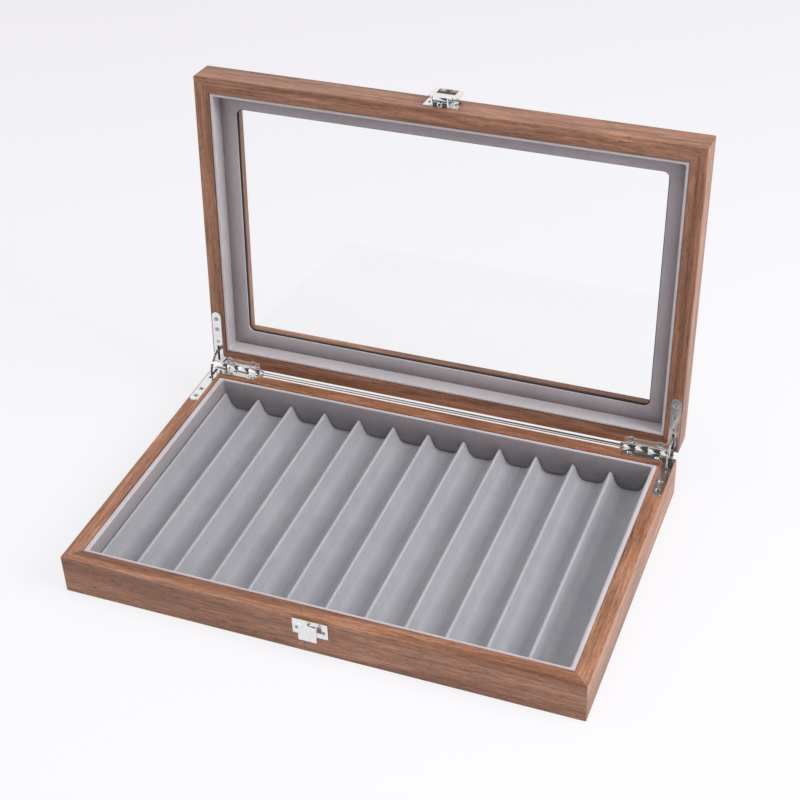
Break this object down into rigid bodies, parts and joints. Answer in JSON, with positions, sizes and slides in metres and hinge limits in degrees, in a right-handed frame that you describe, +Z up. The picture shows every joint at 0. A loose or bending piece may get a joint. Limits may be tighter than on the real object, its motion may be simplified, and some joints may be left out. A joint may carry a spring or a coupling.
{
  "type": "pen collector chest",
  "caption": "Flat walnut chest with a hinged glass lid over a velvet tray of long pen grooves, held by stays and closed by a small front latch.",
  "frame": {"origin": "middle of the base's underside, on the surface that the chest stands on", "axes": "+X along the length, to the right seen from the front; +Y to the back, where the hinges are; +Z up"},
  "size_m": [0.34, 0.2662, 0.2531],
  "materials": {
    "walnut": "satin lacquer, straight grain along each rail",
    "bottom_board": "plain board",
    "felt": "short felt",
    "lining_velvet": "short grey velvet",
    "tray_velvet": "short grey velvet",
    "board_velvet": "short grey velvet",
    "glass": "clear polished pane",
    "chrome": "bright plated steel"
  },
  "bodies": {
    "base": {"base_front_rail": "walnut", "base_back_rail": "walnut", "base_left_rail": "walnut", "base_right_rail": "walnut", "base_bottom_panel": "bottom_board", "underside_felt": "felt", "base_front_lining": "lining_velvet", "base_back_lining": "lining_velvet", "base_left_lining": "lining_velvet", "base_right_lining": "lining_velvet", "pen_tray_insert": "tray_velvet", "right_base_leaf": "chrome", "left_base_leaf": "chrome", "base_leaf_screws": "chrome", "hinge_rod": "chrome", "rod_collars": "chrome", "catch_plate": "chrome", "catch_rivet": "chrome", "catch_nails": "chrome"},
    "lid": {"lid_front_rail": "walnut", "lid_back_rail": "walnut", "lid_left_rail": "walnut", "lid_right_rail": "walnut", "lid_glass": "glass", "lid_board": "board_velvet", "lid_front_lining": "lining_velvet", "lid_back_lining": "lining_velvet", "lid_left_lining": "lining_velvet", "lid_right_lining": "lining_velvet", "right_lid_leaf": "chrome", "left_lid_leaf": "chrome", "lid_leaf_screws": "chrome", "leaf_rivets": "chrome", "latch_housing": "chrome", "latch_eyelet": "chrome", "latch_pin": "chrome", "latch_nails": "chrome"},
    "latch_flap": {"latch_flap": "chrome"},
    "left_stay": {"left_stay_arm": "chrome"},
    "right_stay": {"right_stay_arm": "chrome"}
  },
  "joints": [
    {"name": "lid_hinge", "type": "hinge", "parent": "base", "child": "lid", "pos_m": [0, 0.11075, 0.02835], "axis": [1, 0, 0], "range_deg": [0, 94.7]},
    {"name": "left_stay_turn", "type": "hinge", "parent": "base", "child": "left_stay", "pos_m": [-0.1657, 0.11075, 0.02835], "axis": [1, 0, 0], "range_deg": [0, 47.35]},
    {"name": "right_stay_turn", "type": "hinge", "parent": "base", "child": "right_stay", "pos_m": [0.1657, 0.11075, 0.02835], "axis": [1, 0, 0], "range_deg": [0, 47.35]},
    {"name": "flap_pivot", "type": "hinge", "parent": "lid", "child": "latch_flap", "pos_m": [0, 0.13329, 0.25185], "axis": [1, 0, 0], "range_deg": [0, 183]}
  ],
  "couplings": [
    {"joint": "left_stay_turn", "follows": "lid_hinge", "ratio": 0.5},
    {"joint": "right_stay_turn", "follows": "lid_hinge", "ratio": 0.5}
  ]
}
